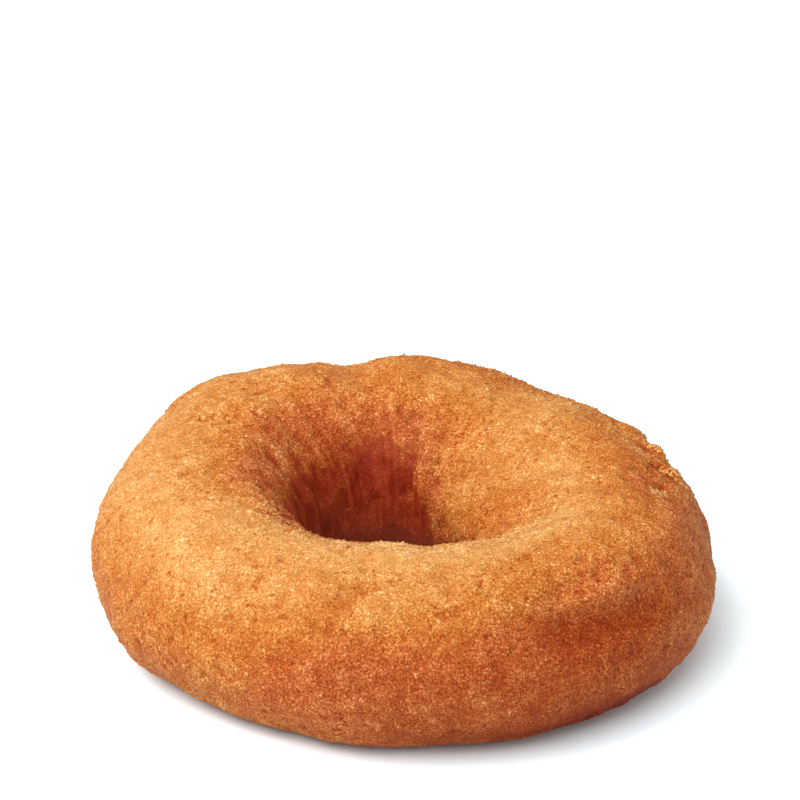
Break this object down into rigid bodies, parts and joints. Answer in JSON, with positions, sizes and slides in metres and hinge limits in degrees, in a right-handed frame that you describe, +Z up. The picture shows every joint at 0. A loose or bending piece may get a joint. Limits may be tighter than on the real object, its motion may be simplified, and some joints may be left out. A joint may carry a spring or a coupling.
{
  "type": "old-fashioned ring doughnut",
  "caption": "Plain old-fashioned ring doughnut: an uneven fried cake ring with a sandy golden-brown crust, a creased rim and a funnel-shaped hole.",
  "frame": {"origin": "on the surface it rests on, under the middle of the ring's outline", "axes": "+Z up through the hole, -Y towards the front as it is seen, +X to the right"},
  "size_m": [0.0898, 0.0894, 0.0274],
  "materials": {
    "crust": null
  },
  "bodies": {
    "root": {"doughnut": "crust"}
  },
  "joints": []
}
